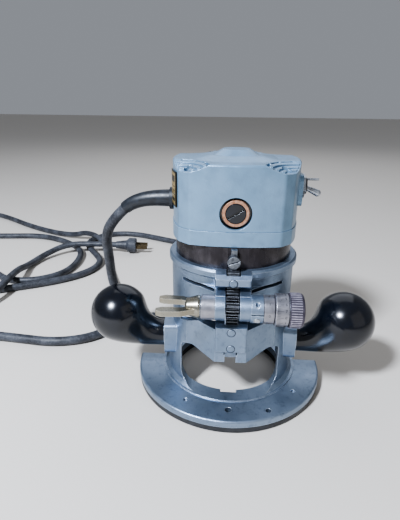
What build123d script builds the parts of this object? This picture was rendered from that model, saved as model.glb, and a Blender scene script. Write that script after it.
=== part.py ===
"""A fixed-base woodworking router: depth is set by a rack, a pinion and a graduated dial.

Millimetres. The origin is the centre of the base's underside, on the spindle axis.
+X is to the right of someone who faces the depth dial, +Y is away from them, +Z is up.
"""

import math
import os

from build123d import *

os.makedirs("parts", exist_ok=True)

# ---------------------------------------------------------------- driving dimensions
BASE_R = 76.2  # a six inch base
SUB_T = 5.2  # sub-base plate under the casting
FLANGE_T = 5.0
FLANGE_BACK_Y = 2.0  # the half-moon flange ends just behind the spindle axis
HUB_R = 55.8  # raised ring round the opening
HUB_RISE = 1.0
OPENING_R = 43.4  # cutter opening
RIM_FILLET = 1.6

MOTOR_R = 43.8  # a three and a half inch motor body
MOTOR_FIT = 0.08  # radial running clearance of the motor in its collar
MOTOR_WALL = 2.6
MOTOR_BOTTOM_Z = 79.0
MOTOR_TOP_Z = 127.2

WALL_R = 47.0  # outside of the casting's upright wall
COLLAR_Z = 80.0  # lower edge of the clamping band
COLLAR_TOP_Z = 112.2
BEAD_R = 49.0  # rolled bead round the collar's mouth
BEAD_H = 5.0
POST_BACK_Y = 14.0  # the two posts end here, and the back is open
REAR_TOP_Z = 76.0
WINDOW_X = 37.5
WINDOW_TOP_Z = 48.5
WINDOW_LOW_TOP_Z = 44.5
GAP_LOW_Z = 71.0  # top of the crossbars either side of the lower lug
SLIT_Z = 97.2  # slit that frees the clamping band from the rim
SLIT_H = 2.6
SLIT_HALF_DEG = 50.0

LUG_X = 11.1  # half width of the lower lug
LUG_FACE_Y = -56.8
LUG_LOW_Z = 52.5
LUG_MID_Z = 75.7
LUG_UP_Z = 103.2
LUG_TOP_Z = 112.2
LUG_UP_X = 12.1  # half width of the upper lug

SHAFT_Y = -60.0  # the cross shaft lies along X in front of the collar
SHAFT_Z = 91.3
SHAFT_R = 4.0
FIT = 0.05  # radial running clearance of small turned parts
EAR_R = 8.5
EAR_GAP_LEFT = -5.0
EAR_GAP_RIGHT = 4.6
EAR_LEFT_X = -11.6
EAR_RIGHT_X = 11.8
GUSSET_LOW_Z = 84.5
GUSSET_TOP_Z = 100.0
GUSSET_CLEAR = 9.8  # the gussets' outer edge passes this far behind the cross shaft

GEAR_MODULE = 0.75
PINION_TEETH = 18
TOOTH_CLEARANCE = 0.12  # backlash of rack and pinion
PINION_LEFT_X = -4.3
PINION_RIGHT_X = 3.9

RACK_HALF_X = 4.0
RACK_BOTTOM_Z = 64.0
RACK_TOP_Z = 113.0
TANG_HALF_X = 1.95
RACK_SCREW_Z = 119.0
RACK_SCREW_R = 4.35
RACK_LOW_SCREW_Z = 90.5

HANDLE_Y = -12.5
HANDLE_Z = 41.5
BOSS_FACE_X = 52.5
BALL_R = 22.8
BALL_REACH = 36.3  # from the boss face out to the middle of the ball
BALL_RISE = 18.2  # from the neck's axis up to the middle of the ball
NECK_R = 10.4
STUD_R = 4.0

HOUSE_FRONT_Y = 42.0  # crown of the front and back faces
HOUSE_EDGE_Y = 38.5
HOUSE_EDGE_X = 31.0
HOUSE_SIDE_X = 45.4  # crown of the two sides
HOUSE_SIDE_EDGE_X = 38.4
HOUSE_SIDE_EDGE_Y = 31.6
HOUSE_WALL = 2.8
RING_Z = 127.4
SEAM_Z = 137.8
CREST_Z = 181.5
CAP_TOP_Z = 187.4
CAP_HALF = 13.6
BRUSH_Z = 150.0
BRUSH_HOLE_R = 10.8
BRUSH_RING_R = 9.15
BRUSH_CAP_R = 6.85

SPINDLE_R = 6.0
SPINDLE_LOW_Z = 33.0
SPINDLE_TOP_Z = 171.4
COLLET_BORE_R = 3.175  # a quarter inch cutter shank
COLLET_BORE_L = 24.0
COLLET_LOW_Z = 29.0
NUT_FLATS = 22.2
CORE_R = 22.0
AIR_GAP = 0.6
CORE_LOW_Z = 97.0
CORE_TOP_Z = 125.0
COMMUTATOR_R = 13.0

CORD_R = 4.25
PLUG_AT = (-172.0, 279.0, 12.9)
PLUG_DIR = (27.8, 2.8, -1.3)

TOGGLE_X = 46.6
TOGGLE_Y = -5.0
TOGGLE_Z = 163.0

HUB_TOP_Z = SUB_T + FLANGE_T + HUB_RISE
BORE_R = MOTOR_R + MOTOR_FIT
PITCH_R = GEAR_MODULE * PINION_TEETH / 2
RACK_PITCH_Y = SHAFT_Y + PITCH_R
RACK_FACE_Y = RACK_PITCH_Y - GEAR_MODULE
RACK_BACK_Y = -MOTOR_R + 0.6
CHANNEL_Y = RACK_FACE_Y - 0.5
CHANNEL_X = RACK_SCREW_R + 0.45
CHANNEL_LOW_Z = RACK_BOTTOM_Z - 13.5  # below the rack when the motor is at its lowest


# ---------------------------------------------------------------- helpers
def keep(builder, name):
    """Label a finished sub-part and write it to its own file."""
    builder.part.label = name
    export_step(builder.part, f"parts/{name}.step")


def polar(radius, degrees):
    """A point on a circle about the spindle axis."""
    return (radius * math.cos(math.radians(degrees)), radius * math.sin(math.radians(degrees)))


def across(x):
    """A plane that faces +X at x, centred on the cross shaft, with its own Y pointing up."""
    return Plane(origin=(x, SHAFT_Y, SHAFT_Z), x_dir=(0, 1, 0), z_dir=(1, 0, 0))


def handle_plane(side):
    """The plane of a handle's boss face; side is +1 on the right and -1 on the left."""
    out = (side, -0.06, 0)
    return Plane(origin=(side * BOSS_FACE_X, HANDLE_Y, HANDLE_Z), x_dir=(0, 1, 0), z_dir=out)


def housing_outline(grow=0.0):
    """The motor housing's plan as a face: four bowed sides and four clipped corners."""
    edge_x = HOUSE_EDGE_X + 0.4 * grow
    edge_y = HOUSE_EDGE_Y + grow
    side_x = HOUSE_SIDE_EDGE_X + grow
    side_y = HOUSE_SIDE_EDGE_Y + 0.4 * grow
    crown_x = HOUSE_SIDE_X + grow
    crown_y = HOUSE_FRONT_Y + grow
    with BuildLine() as outline:
        ThreePointArc((-edge_x, -edge_y), (0, -crown_y), (edge_x, -edge_y))
        Line((edge_x, -edge_y), (side_x, -side_y))
        ThreePointArc((side_x, -side_y), (crown_x, 0), (side_x, side_y))
        Line((side_x, side_y), (edge_x, edge_y))
        ThreePointArc((edge_x, edge_y), (0, crown_y), (-edge_x, edge_y))
        Line((-edge_x, edge_y), (-side_x, side_y))
        ThreePointArc((-side_x, side_y), (-crown_x, 0), (-side_x, -side_y))
        Line((-side_x, -side_y), (-edge_x, -edge_y))
    return Face(outline.wires()[0])


# ---------------------------------------------------------------- base casting
with BuildPart() as base_casting:
    with BuildSketch(Plane.XY.offset(SUB_T)):
        Circle(BASE_R)
        with Locations((0, FLANGE_BACK_Y + BASE_R)):
            Rectangle(3 * BASE_R, 2 * BASE_R, mode=Mode.SUBTRACT)
    extrude(amount=FLANGE_T)
    rim = base_casting.edges().filter_by(GeomType.CIRCLE).group_by(Axis.Z)[-1]
    fillet(rim, RIM_FILLET)
    with BuildSketch(Plane.XY.offset(SUB_T)):
        Circle(HUB_R)
    extrude(amount=FLANGE_T + HUB_RISE)
    # the upright wall, flared where it meets the hub ring, with a bead round its mouth
    with BuildSketch(Plane.XZ):
        with BuildLine():
            Polyline(
                (20, SUB_T),
                (HUB_R - 2.0, SUB_T),
                (HUB_R - 2.0, HUB_TOP_Z),
                (WALL_R + 4.0, HUB_TOP_Z + 2.5),
                (WALL_R + 2.2, 26.0),
                (WALL_R, 62.0),
                (WALL_R, COLLAR_TOP_Z - BEAD_H - 1.6),
                (BEAD_R, COLLAR_TOP_Z - BEAD_H),
                (BEAD_R, COLLAR_TOP_Z - 1.4),
                (BEAD_R - 1.4, COLLAR_TOP_Z),
                (20, COLLAR_TOP_Z),
                close=True,
            )
        make_face()
    revolve(axis=Axis.Z)
    # the rack's two lugs, and the ears that carry the cross shaft
    for low, high, half in ((LUG_LOW_Z, LUG_MID_Z, LUG_X), (LUG_UP_Z, LUG_TOP_Z, LUG_UP_X)):
        with BuildSketch(Plane.YZ.offset(-half)):
            with BuildLine():
                Polyline(
                    (-40, low),
                    (LUG_FACE_Y + 2.6, low),
                    (LUG_FACE_Y, low + 2.0),
                    (LUG_FACE_Y, high - 2.4),
                    (LUG_FACE_Y + 3.0, high),
                    (-40, high),
                    close=True,
                )
            make_face()
        extrude(amount=2 * half)
    face_edges = (
        base_casting.edges()
        .filter_by(Axis.Z)
        .filter_by(lambda e: abs(e.center().Y - LUG_FACE_Y) < 0.1)
    )
    fillet(face_edges, 1.6)
    for side, near, far in ((-1, -EAR_GAP_LEFT, -EAR_LEFT_X), (1, EAR_GAP_RIGHT, EAR_RIGHT_X)):
        with BuildSketch(across(side * near)):
            Circle(EAR_R)
        extrude(amount=side * (far - near))
        tangent = -90 + side * 51.0
        tip = polar(WALL_R - 0.3, tangent)
        with BuildSketch(Plane.XY.offset(GUSSET_LOW_Z)):
            with BuildLine():
                Polyline(
                    (side * near, SHAFT_Y - 0.5),
                    (side * far, SHAFT_Y - 0.5),
                    (side * far, SHAFT_Y + GUSSET_CLEAR),
                    tip,
                    (tip[0] * 0.95, tip[1] * 0.95),
                    (side * near, -40.0),
                    close=True,
                )
            make_face()
        extrude(amount=GUSSET_TOP_Z - GUSSET_LOW_Z)
    # crossbars from the posts down to the lower lug
    for side in (-1, 1):
        with BuildSketch(Plane.XY.offset(WINDOW_LOW_TOP_Z)):
            with BuildLine():
                Polyline(
                    (side * 4.0, -54.5),
                    (side * LUG_X, -54.5),
                    (side * 33.0, -35.0),
                    (side * 30.0, -33.0),
                    (side * 4.0, -42.0),
                    close=True,
                )
            make_face()
        extrude(amount=GAP_LOW_Z - WINDOW_LOW_TOP_Z)
    # handle bosses on the posts
    for side in (-1, 1):
        with BuildSketch(handle_plane(side)):
            RectangleRounded(24.0, 26.0, 4.0)
        extrude(amount=-14.0)
    # motor bore and cutter opening
    with BuildSketch(Plane.XY.offset(GAP_LOW_Z - 12.0)):
        Circle(BORE_R)
    extrude(amount=LUG_TOP_Z, mode=Mode.SUBTRACT)
    with BuildSketch(Plane.XY):
        Circle(OPENING_R)
    extrude(amount=HUB_TOP_Z + 1, mode=Mode.SUBTRACT)
    with BuildSketch(Plane.XY.offset(HUB_TOP_Z)):
        Circle(BORE_R + 0.6)
    extrude(amount=GAP_LOW_Z - 12.0 - HUB_TOP_Z, mode=Mode.SUBTRACT)
    # the front window, with its top sloping down to the lug
    with BuildSketch(Plane.XZ.offset(20)) as window:
        with BuildLine():
            Polyline(
                (-WINDOW_X, HUB_TOP_Z),
                (-WINDOW_X, WINDOW_TOP_Z - 4),
                (-WINDOW_X + 9, WINDOW_TOP_Z),
                (-LUG_X - 1, WINDOW_LOW_TOP_Z),
                (LUG_X + 1, WINDOW_LOW_TOP_Z),
                (WINDOW_X - 9, WINDOW_TOP_Z),
                (WINDOW_X, WINDOW_TOP_Z - 4),
                (WINDOW_X, HUB_TOP_Z),
                close=True,
            )
        make_face()
        fillet(window.vertices().filter_by(lambda v: v.Y > HUB_TOP_Z + 1), 5.0)
        fillet(window.vertices().filter_by(lambda v: v.Y < HUB_TOP_Z + 1), 11.0)
    extrude(amount=60, mode=Mode.SUBTRACT)
    # the open back between the two posts
    with BuildSketch(Plane.XZ.offset(-POST_BACK_Y)):
        with Locations((0, (HUB_TOP_Z + REAR_TOP_Z) / 2)):
            RectangleRounded(2 * BASE_R, REAR_TOP_Z - HUB_TOP_Z, 6.0)
    extrude(amount=-60, mode=Mode.SUBTRACT)
    # gaps between the crossbars and the clamping band
    for side in (-1, 1):
        with BuildSketch(Plane.XZ.offset(26)):
            with BuildLine():
                Polyline(
                    (side * LUG_X, GAP_LOW_Z),
                    (side * 24.0, GAP_LOW_Z),
                    (side * 38.0, 63.0),
                    (side * 38.0, COLLAR_Z - 3.0),
                    (side * 33.0, COLLAR_Z),
                    (side * LUG_X, COLLAR_Z),
                    close=True,
                )
            make_face()
        extrude(amount=40, mode=Mode.SUBTRACT)
    with BuildSketch(Plane.XZ.offset(40)):
        with Locations((0, (LUG_MID_Z + COLLAR_Z) / 2)):
            Rectangle(2 * LUG_X, COLLAR_Z - LUG_MID_Z)
    extrude(amount=40, mode=Mode.SUBTRACT)
    # slot for the pinion, slits above the band, channel for the rack, notch for its screw
    with BuildSketch(Plane.XY.offset(COLLAR_Z)):
        with Locations(((EAR_GAP_LEFT + EAR_GAP_RIGHT) / 2, -60)):
            Rectangle(EAR_GAP_RIGHT - EAR_GAP_LEFT, 40)
    extrude(amount=SLIT_Z + SLIT_H - COLLAR_Z, mode=Mode.SUBTRACT)
    with BuildSketch(Plane.XY.offset(SLIT_Z)):
        with BuildLine():
            Polyline(
                (0, 0),
                polar(2 * BASE_R, -90 - SLIT_HALF_DEG),
                polar(2 * BASE_R, -90 + SLIT_HALF_DEG),
                close=True,
            )
        make_face()
        Circle(WALL_R + 4.0, mode=Mode.INTERSECT)
    extrude(amount=SLIT_H, mode=Mode.SUBTRACT)
    with BuildSketch(Plane.XY.offset(CHANNEL_LOW_Z)):
        with Locations((0, (CHANNEL_Y - 40) / 2)):
            Rectangle(2 * CHANNEL_X, -CHANNEL_Y - 40)
    extrude(amount=LUG_TOP_Z, mode=Mode.SUBTRACT)
    with BuildSketch(Plane.XY.offset(HUB_TOP_Z - 2.4)):
        with Locations((0, -OPENING_R)):
            Rectangle(12.0, 5.0)
    extrude(amount=4, mode=Mode.SUBTRACT)
    # bore for the cross shaft, and holes in the flange
    with BuildSketch(across(-30)):
        Circle(SHAFT_R + FIT)
    extrude(amount=60, mode=Mode.SUBTRACT)
    with Locations(
        (*polar(64, -120), SUB_T + FLANGE_T),
        (*polar(64, -38.5), SUB_T + FLANGE_T),
        (*polar(51, 90), HUB_TOP_Z),
    ):
        Hole(1.7, depth=20)
    with Locations((*polar(64, -90), SUB_T + FLANGE_T)):
        Hole(2.5, depth=20)
    with Locations((*polar(69, -65), SUB_T + FLANGE_T)):
        Hole(2.1, depth=20)
    for side in (-1, 1):
        with BuildSketch(handle_plane(side)):
            Circle(STUD_R + FIT)
        extrude(amount=-9.0, mode=Mode.SUBTRACT)
keep(base_casting, "base_casting")

# ---------------------------------------------------------------- base fittings
SUB_HOLE_R = 1.9
SCREW_PLACES = [polar(64, -120), polar(64, -38.5), polar(51, 90)]

with BuildPart() as sub_base:
    with BuildSketch():
        Circle(BASE_R - 0.4)
        with Locations((0, FLANGE_BACK_Y + BASE_R)):
            Rectangle(3 * BASE_R, 2 * BASE_R, mode=Mode.SUBTRACT)
        Circle(HUB_R - 0.4)
        Circle(OPENING_R, mode=Mode.SUBTRACT)
    extrude(amount=SUB_T)
    lower_rim = sub_base.edges().filter_by(GeomType.CIRCLE).group_by(Axis.Z)[0]
    chamfer(lower_rim.filter_by(lambda e: e.radius > HUB_R), 0.8)
    for x, y in SCREW_PLACES:
        with Locations(Location((x, y, 0), (180, 0, 0))):
            CounterSinkHole(SUB_HOLE_R, 3.4, depth=SUB_T)
    for x, y in (polar(64, -90), polar(69, -65)):
        with Locations((x, y, SUB_T)):
            Hole(2.5, depth=SUB_T)
keep(sub_base, "sub_base")

with BuildPart() as sub_base_screws:
    for x, y in SCREW_PLACES:
        with BuildSketch(Plane(origin=(x, y, 0.4), x_dir=(1, 0, 0), z_dir=(0, -1, 0))):
            with BuildLine():
                Polyline((0, 0), (2.9, 0), (1.6, 1.4), (1.6, 8.0), (0, 8.0), close=True)
            make_face()
        revolve(axis=Axis((x, y, 0), (0, 0, 1)))
        with BuildSketch(Plane.XY.offset(0.4)):
            with Locations((x, y)):
                Rectangle(6.4, 0.8, rotation=30)
        extrude(amount=0.7, mode=Mode.SUBTRACT)
keep(sub_base_screws, "sub_base_screws")


def handle(side):
    """A pear-shaped moulded handle, bored for its stud."""
    name = "left_handle" if side < 0 else "right_handle"
    face = handle_plane(side)
    # its middle line leaves the boss level and turns up towards the middle of the ball
    course = Plane(origin=face.origin, x_dir=face.z_dir, z_dir=face.z_dir.cross(Vector(0, 0, 1)))
    with BuildLine(course) as middle_line:
        Bezier(
            (0, 0),
            (0.46 * BALL_REACH, 0),
            (0.74 * BALL_REACH, 0.46 * BALL_RISE),
            (BALL_REACH, BALL_RISE),
        )
    line = middle_line.wires()[0]
    with BuildPart() as knob:
        with BuildSketch(face.offset(0.62)):
            Circle(NECK_R)
        # the share of the swelling, from the neck's radius to the ball's, at places along the line
        for place, share in ((0.19, 0.04), (0.37, 0.2), (0.52, 0.41), (0.68, 0.68), (0.84, 0.92), (1, 1)):
            with BuildSketch(Plane(origin=line @ place, z_dir=line % place)):
                Circle(NECK_R + share * (BALL_R - NECK_R))
        loft()
        end = Plane(origin=line @ 1, x_dir=line % 1, z_dir=course.z_dir)
        with BuildSketch(end):
            with BuildLine():
                CenterArc((0, 0), BALL_R, 0, 90)
                Polyline((0, BALL_R), (0, 0), (BALL_R, 0))
            make_face()
        revolve(axis=Axis(line @ 1, line % 1))
        with BuildSketch(face):
            Circle(STUD_R + FIT)
        extrude(amount=26.0, mode=Mode.SUBTRACT)
    keep(knob, name)


for side in (-1, 1):
    handle(side)

with BuildPart() as handle_studs:
    for side in (-1, 1):
        with BuildSketch(handle_plane(side).offset(-8.6)):
            Circle(STUD_R)
        extrude(amount=33.0)
keep(handle_studs, "handle_studs")

with BuildPart() as handle_washers:
    for side in (-1, 1):
        with BuildSketch(handle_plane(side).offset(0.05)):
            Circle(NECK_R + 0.5)
            Circle(STUD_R + FIT, mode=Mode.SUBTRACT)
        extrude(amount=0.5)
keep(handle_washers, "handle_washers")

with BuildPart() as clamp_sleeve:
    with BuildSketch(across(EAR_LEFT_X - 0.05)):
        Circle(EAR_R - 0.2)
        Circle(SHAFT_R + FIT, mode=Mode.SUBTRACT)
    extrude(amount=-(20.8 + EAR_LEFT_X - 0.05))
    chamfer(clamp_sleeve.edges().group_by(Axis.X)[0], 0.5)
keep(clamp_sleeve, "clamp_sleeve")

COLLAR_LEFT_X = EAR_RIGHT_X + 0.05
COLLAR_RIGHT_X = 19.7
with BuildPart() as clamp_collar:
    with BuildSketch(across(COLLAR_LEFT_X)):
        Circle(9.2)
        with Locations((-6.4, 0)):
            Rectangle(8.0, 0.9, mode=Mode.SUBTRACT)
        Circle(SHAFT_R + FIT, mode=Mode.SUBTRACT)
    extrude(amount=COLLAR_RIGHT_X - COLLAR_LEFT_X)
    with BuildSketch(Plane.XY.offset(SHAFT_Z - 10)):
        with Locations(((COLLAR_LEFT_X + COLLAR_RIGHT_X) / 2, SHAFT_Y - 6.6)):
            Circle(1.3)
    extrude(amount=20, mode=Mode.SUBTRACT)
    with BuildSketch(Plane.XY.offset(SHAFT_Z - 2.6)):
        with Locations(((COLLAR_LEFT_X + COLLAR_RIGHT_X) / 2, SHAFT_Y - 6.6)):
            Circle(2.6)
    extrude(amount=-8, mode=Mode.SUBTRACT)
keep(clamp_collar, "clamp_collar")

with BuildPart() as clamp_collar_screw:
    with BuildSketch(Plane.XY.offset(SHAFT_Z - 2.8)):
        with Locations(((COLLAR_LEFT_X + COLLAR_RIGHT_X) / 2, SHAFT_Y - 6.6)):
            Circle(2.4)
    extrude(amount=-2.6)
    with BuildSketch(Plane.XY.offset(SHAFT_Z - 2.8)):
        with Locations(((COLLAR_LEFT_X + COLLAR_RIGHT_X) / 2, SHAFT_Y - 6.6)):
            Circle(1.2)
    extrude(amount=8.0)
    with BuildSketch(Plane.XY.offset(SHAFT_Z - 5.4)):
        with Locations(((COLLAR_LEFT_X + COLLAR_RIGHT_X) / 2, SHAFT_Y - 6.6)):
            Rectangle(5.2, 0.7)
    extrude(amount=0.9, mode=Mode.SUBTRACT)
keep(clamp_collar_screw, "clamp_collar_screw")

INDEX_RIGHT_X = 26.8
HUB_SLEEVE_R = 7.0  # the knob's hub, which the graduated dial turns on
with BuildPart() as index_sleeve:
    with BuildSketch(across(COLLAR_RIGHT_X + 0.3)):
        Circle(9.6)
        Circle(SHAFT_R + FIT, mode=Mode.SUBTRACT)
    extrude(amount=INDEX_RIGHT_X - COLLAR_RIGHT_X - 0.3)
    chamfer(index_sleeve.edges().group_by(Axis.X)[-1].sort_by(SortBy.LENGTH)[-1], 0.4)
keep(index_sleeve, "index_sleeve")

# ---------------------------------------------------------------- depth drive
DIAL_RIGHT_X = 35.5
KNOB_LEFT_X = 36.2
KNOB_RIGHT_X = 45.6
SHAFT_LEFT_X = -31.5


def tooth_ring(teeth, module, clearance):
    """A spur pinion's outline with straight flanks, a tooth space facing +Y of the sketch."""
    outer = module * teeth / 2 + module
    root = module * teeth / 2 - 1.25 * module
    points = []
    for tooth in range(teeth):
        middle = math.tau * (tooth + 0.5) / teeth + math.pi / 2
        half_root = (math.pi / 2 / teeth) * 1.55
        half_tip = (math.pi / 2 / teeth) * 0.5 - clearance / 2 / outer
        for radius, turn in (
            (root, -half_root),
            (outer, -half_tip),
            (outer, half_tip),
            (root, half_root),
        ):
            angle = middle + turn
            points.append((radius * math.cos(angle), radius * math.sin(angle)))
    return points


with BuildPart() as pinion_shaft:
    with BuildSketch(across(SHAFT_LEFT_X)):
        Circle(3.0)
    extrude(amount=-20.9 - SHAFT_LEFT_X)
    with BuildSketch(across(-20.9)):
        Circle(SHAFT_R)
    extrude(amount=KNOB_RIGHT_X - 3.0 + 20.9)
    with BuildSketch(Plane(origin=(PINION_LEFT_X, SHAFT_Y, SHAFT_Z), x_dir=(0, 0, 1), z_dir=(1, 0, 0))):
        with BuildLine():
            Polyline(*tooth_ring(PINION_TEETH, GEAR_MODULE, TOOTH_CLEARANCE), close=True)
        make_face()
    extrude(amount=PINION_RIGHT_X - PINION_LEFT_X)
keep(pinion_shaft, "pinion_shaft")

with BuildPart() as depth_knob:
    with BuildSketch(across(KNOB_LEFT_X)):
        Circle(11.3)
        Circle(SHAFT_R + 0.02, mode=Mode.SUBTRACT)
    extrude(amount=KNOB_RIGHT_X - KNOB_LEFT_X)
    with BuildSketch(across(KNOB_RIGHT_X - 2.6)):
        Circle(SHAFT_R + 1)
    extrude(amount=2.6)
    outer_rim = depth_knob.edges().filter_by(GeomType.CIRCLE).group_by(Axis.X)[-1]
    fillet(outer_rim.filter_by(lambda e: e.radius > 11), 1.6)
    with BuildSketch(across(INDEX_RIGHT_X + 0.3)):
        Circle(HUB_SLEEVE_R)
        Circle(SHAFT_R + 0.02, mode=Mode.SUBTRACT)
    extrude(amount=KNOB_LEFT_X - INDEX_RIGHT_X - 0.3)
keep(depth_knob, "depth_knob")

with BuildPart() as graduated_dial:
    with BuildSketch(across(INDEX_RIGHT_X + 0.3)):
        Circle(10.9)
        Circle(HUB_SLEEVE_R + FIT, mode=Mode.SUBTRACT)
    extrude(amount=DIAL_RIGHT_X - INDEX_RIGHT_X - 0.3)
    chamfer(graduated_dial.edges().group_by(Axis.X)[0].sort_by(SortBy.LENGTH)[-1], 0.7)
keep(graduated_dial, "graduated_dial")

with BuildPart() as dial_washer:
    with BuildSketch(across(DIAL_RIGHT_X + 0.1)):
        Circle(10.2)
        Circle(HUB_SLEEVE_R + FIT, mode=Mode.SUBTRACT)
    extrude(amount=KNOB_LEFT_X - DIAL_RIGHT_X - 0.15)
keep(dial_washer, "dial_washer")

NUT_RIGHT_X = -21.6
NUT_LEFT_X = -31.0
with BuildPart() as wing_nut_washer:
    with BuildSketch(across(-20.9)):
        Circle(7.2)
        Circle(3.0 + FIT, mode=Mode.SUBTRACT)
    extrude(amount=-0.6)
keep(wing_nut_washer, "wing_nut_washer")

with BuildPart() as wing_nut:
    with BuildSketch(Plane(origin=(0, SHAFT_Y, SHAFT_Z), x_dir=(1, 0, 0), z_dir=(0, -1, 0))):
        with BuildLine():
            Polyline(
                (NUT_RIGHT_X, 0),
                (NUT_RIGHT_X, 7.6),
                (NUT_RIGHT_X - 1.2, 7.9),
                (NUT_LEFT_X + 1.0, 5.9),
                (NUT_LEFT_X, 5.0),
                (NUT_LEFT_X, 0),
                close=True,
            )
        make_face()
    revolve(axis=Axis((0, SHAFT_Y, SHAFT_Z), (1, 0, 0)))
    for side in (-1, 1):
        with BuildSketch(Plane.XY.offset(SHAFT_Z - 1.9)) as wing:
            with BuildLine():
                Polyline(
                    (NUT_RIGHT_X - 2.5, SHAFT_Y + side * 4.0),
                    (NUT_RIGHT_X - 2.5, SHAFT_Y + side * 7.2),
                    (NUT_LEFT_X - 3.0, SHAFT_Y + side * 11.2),
                    (-46.0, SHAFT_Y + side * 12.2),
                    (-50.0, SHAFT_Y + side * 10.2),
                    (-50.0, SHAFT_Y + side * 7.2),
                    (-46.5, SHAFT_Y + side * 5.6),
                    (NUT_LEFT_X - 3.0, SHAFT_Y + side * 5.4),
                    (NUT_LEFT_X + 1.0, SHAFT_Y + side * 4.0),
                    close=True,
                )
            make_face()
            fillet(wing.vertices().group_by(Axis.X)[0], 1.3)
        extrude(amount=3.8)
    with BuildSketch(across(0)):
        Circle(3.0 + FIT)
    extrude(amount=-40, mode=Mode.SUBTRACT)
keep(wing_nut, "wing_nut")

# ---------------------------------------------------------------- motor body
with BuildPart() as motor_case:
    with BuildSketch(Plane.XY.offset(MOTOR_BOTTOM_Z)):
        Circle(MOTOR_R)
        Circle(MOTOR_R - MOTOR_WALL, mode=Mode.SUBTRACT)
        with Locations((0, RACK_BACK_Y - 5)):
            Rectangle(2 * RACK_HALF_X + 0.2, 10, mode=Mode.SUBTRACT)
    extrude(amount=MOTOR_TOP_Z - MOTOR_BOTTOM_Z)
    for z in (RACK_LOW_SCREW_Z, RACK_SCREW_Z):
        with BuildSketch(Plane.XZ.offset(30)):
            with Locations((0, z)):
                Circle(1.8)
        extrude(amount=20, mode=Mode.SUBTRACT)
keep(motor_case, "motor_case")

with BuildPart() as rack:
    tooth_pitch = math.pi * GEAR_MODULE
    root_y = RACK_PITCH_Y + 1.25 * GEAR_MODULE
    tooth_count = int((RACK_TOP_Z - RACK_BOTTOM_Z) / tooth_pitch)
    first = SHAFT_Z - tooth_pitch * round((SHAFT_Z - RACK_BOTTOM_Z) / tooth_pitch - 0.5)
    tip_half = tooth_pitch / 4 - TOOTH_CLEARANCE / 2 - 0.27
    root_half = tooth_pitch / 4 + 0.34
    with BuildSketch(Plane.YZ.offset(-RACK_HALF_X)):
        with BuildLine():
            outline = [(RACK_BACK_Y, RACK_BOTTOM_Z), (root_y, RACK_BOTTOM_Z)]
            for tooth in range(tooth_count):
                middle = first + tooth * tooth_pitch
                if RACK_BOTTOM_Z + root_half < middle < RACK_TOP_Z - root_half:
                    outline += [
                        (root_y, middle - root_half),
                        (RACK_FACE_Y, middle - tip_half),
                        (RACK_FACE_Y, middle + tip_half),
                        (root_y, middle + root_half),
                    ]
            outline += [(root_y, RACK_TOP_Z), (RACK_BACK_Y, RACK_TOP_Z)]
            Polyline(*outline, close=True)
        make_face()
    extrude(amount=2 * RACK_HALF_X)
    with BuildSketch(Plane.XY.offset(RACK_TOP_Z)):
        with Locations((0, -45.45)):
            Rectangle(2 * TANG_HALF_X, 4.3)
    extrude(amount=RING_Z - 0.4 - RACK_TOP_Z)
    with BuildSketch(Plane.XZ.offset(47.6)):
        with Locations((0, RACK_SCREW_Z)):
            Circle(RACK_SCREW_R - 0.4)
    extrude(amount=-(47.6 + RACK_BACK_Y))
    with BuildSketch(Plane.XZ.offset(30)):
        with Locations((0, RACK_SCREW_Z), (0, RACK_LOW_SCREW_Z)):
            Circle(1.75)
    extrude(amount=30, mode=Mode.SUBTRACT)
    with BuildSketch(Plane.XZ.offset(50.1)):
        with Locations((0, RACK_LOW_SCREW_Z)):
            Circle(3.1)
    extrude(amount=10, mode=Mode.SUBTRACT)
keep(rack, "rack")

with BuildPart() as rack_screws:
    for z, head_y, head_r in ((RACK_SCREW_Z, 47.65, RACK_SCREW_R), (RACK_LOW_SCREW_Z, 50.15, 2.9)):
        with BuildSketch(Plane.XZ.offset(head_y)):
            with Locations((0, z)):
                Circle(head_r)
        extrude(amount=2.2)
        with BuildSketch(Plane.XZ.offset(head_y)):
            with Locations((0, z)):
                Circle(1.7)
        extrude(amount=-(head_y - 40.5))
        with BuildSketch(Plane.XZ.offset(head_y + 1.2)):
            with Locations((0, z)):
                Rectangle(2.4 * head_r, 0.9, rotation=20)
        extrude(amount=3, mode=Mode.SUBTRACT)
keep(rack_screws, "rack_screws")

BEARING_R = 13.0
NOSE_Z = 67.0
NOSE_R = 17.0
with BuildPart() as lower_end_cap:
    with BuildSketch(Plane.XY.offset(MOTOR_BOTTOM_Z)):
        Circle(MOTOR_R - MOTOR_WALL - 0.05)
    extrude(amount=4.0)
    with BuildSketch(Plane.XY.offset(NOSE_Z)):
        Circle(NOSE_R)
    extrude(amount=MOTOR_BOTTOM_Z - NOSE_Z)
    with BuildSketch(Plane.XY.offset(NOSE_Z + 2.0)):
        Circle(BEARING_R + 0.05)
    extrude(amount=40, mode=Mode.SUBTRACT)
    with BuildSketch(Plane.XY.offset(NOSE_Z)):
        Circle(SPINDLE_R + 2.0)
    extrude(amount=2.0, mode=Mode.SUBTRACT)
    with BuildSketch(Plane.XY.offset(MOTOR_BOTTOM_Z)):
        with PolarLocations(29.0, 6):
            SlotOverall(15.0, 9.0, rotation=90)
    extrude(amount=5.0, mode=Mode.SUBTRACT)
keep(lower_end_cap, "lower_end_cap")


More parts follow.
